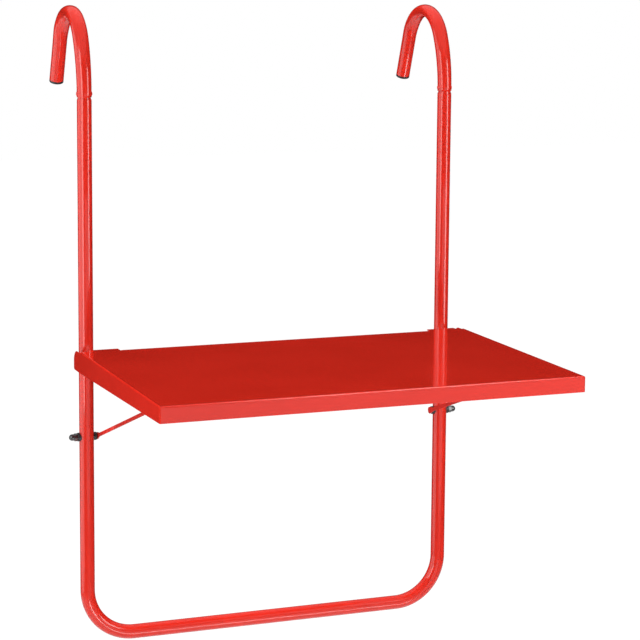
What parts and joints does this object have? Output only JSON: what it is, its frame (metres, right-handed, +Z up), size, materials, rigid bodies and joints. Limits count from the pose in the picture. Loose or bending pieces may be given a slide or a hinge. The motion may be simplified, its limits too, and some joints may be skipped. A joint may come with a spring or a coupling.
{
  "type": "balcony railing bar table",
  "caption": "Tray table that hangs from a balcony rail on hooked tubes, with rod stays that hold the hinged sheet steel top level; glossy powder coat.",
  "frame": {"origin": "midway between the two hooks, on the line where the crowns of the hooks lie on the rail's top", "axes": "+X along the rail, to the right as seen from the table's user; +Y over the rail, away from the user; +Z up"},
  "size_m": [0.6122, 0.6, 0.9305],
  "materials": {
    "red_tube": "glossy red powder coat on steel tube",
    "red_sheet": "high gloss red powder coat on sheet steel",
    "red_rod": "glossy red powder coat on steel rod",
    "black_plastic": "satin black moulded plastic",
    "bush_plastic": "natural nylon",
    "zinc_steel": "bright zinc plate",
    "black_nut": "glossy black coat on steel"
  },
  "bodies": {
    "frame": {"frame_tube": "red_tube", "hook_left": "red_tube", "hook_right": "red_tube", "hook_plug_left": "black_plastic", "hook_plug_right": "black_plastic", "joint_rivet_left": "red_tube", "joint_rivet_right": "red_tube", "hinge_lug_left": "red_tube", "hinge_lug_right": "red_tube", "hinge_bush_left": "bush_plastic", "hinge_bush_right": "bush_plastic", "stay_spacer_left": "black_plastic", "stay_spacer_right": "black_plastic", "nut_washer_left": "black_plastic", "nut_washer_right": "black_plastic"},
    "table_top": {"table_tray": "red_sheet", "stiffener_rail": "red_sheet", "stay_guide_left": "red_sheet", "stay_guide_right": "red_sheet", "hinge_stud_left": "zinc_steel", "hinge_stud_right": "zinc_steel", "hinge_washer_left": "zinc_steel", "hinge_washer_right": "zinc_steel", "hinge_nut_left": "zinc_steel", "hinge_nut_right": "zinc_steel"},
    "stay_left": {"stay_rod_left": "red_rod", "stay_stud_left": "zinc_steel", "cap_nut_left": "black_nut", "stay_cap_left": "black_plastic"},
    "stay_right": {"stay_rod_right": "red_rod", "stay_stud_right": "zinc_steel", "cap_nut_right": "black_nut", "stay_cap_right": "black_plastic"}
  },
  "joints": [
    {"name": "table_fold", "type": "hinge", "parent": "frame", "child": "table_top", "pos_m": [0, -0.10573, -0.4855], "axis": [-1, 0, 0], "range_deg": [0, 82]},
    {"name": "stay_left_swing", "type": "hinge", "parent": "frame", "child": "stay_left", "pos_m": [-0.264, -0.07523, -0.5995], "axis": [-1, 0, 0], "range_deg": [0, 62.4]},
    {"name": "stay_right_swing", "type": "hinge", "parent": "frame", "child": "stay_right", "pos_m": [0.264, -0.07523, -0.5995], "axis": [-1, 0, 0], "range_deg": [0, 62.4]}
  ],
  "couplings": [
    {"joint": "stay_left_swing", "follows": "table_fold", "ratio": 0.75933},
    {"joint": "stay_right_swing", "follows": "table_fold", "ratio": 0.75933}
  ]
}
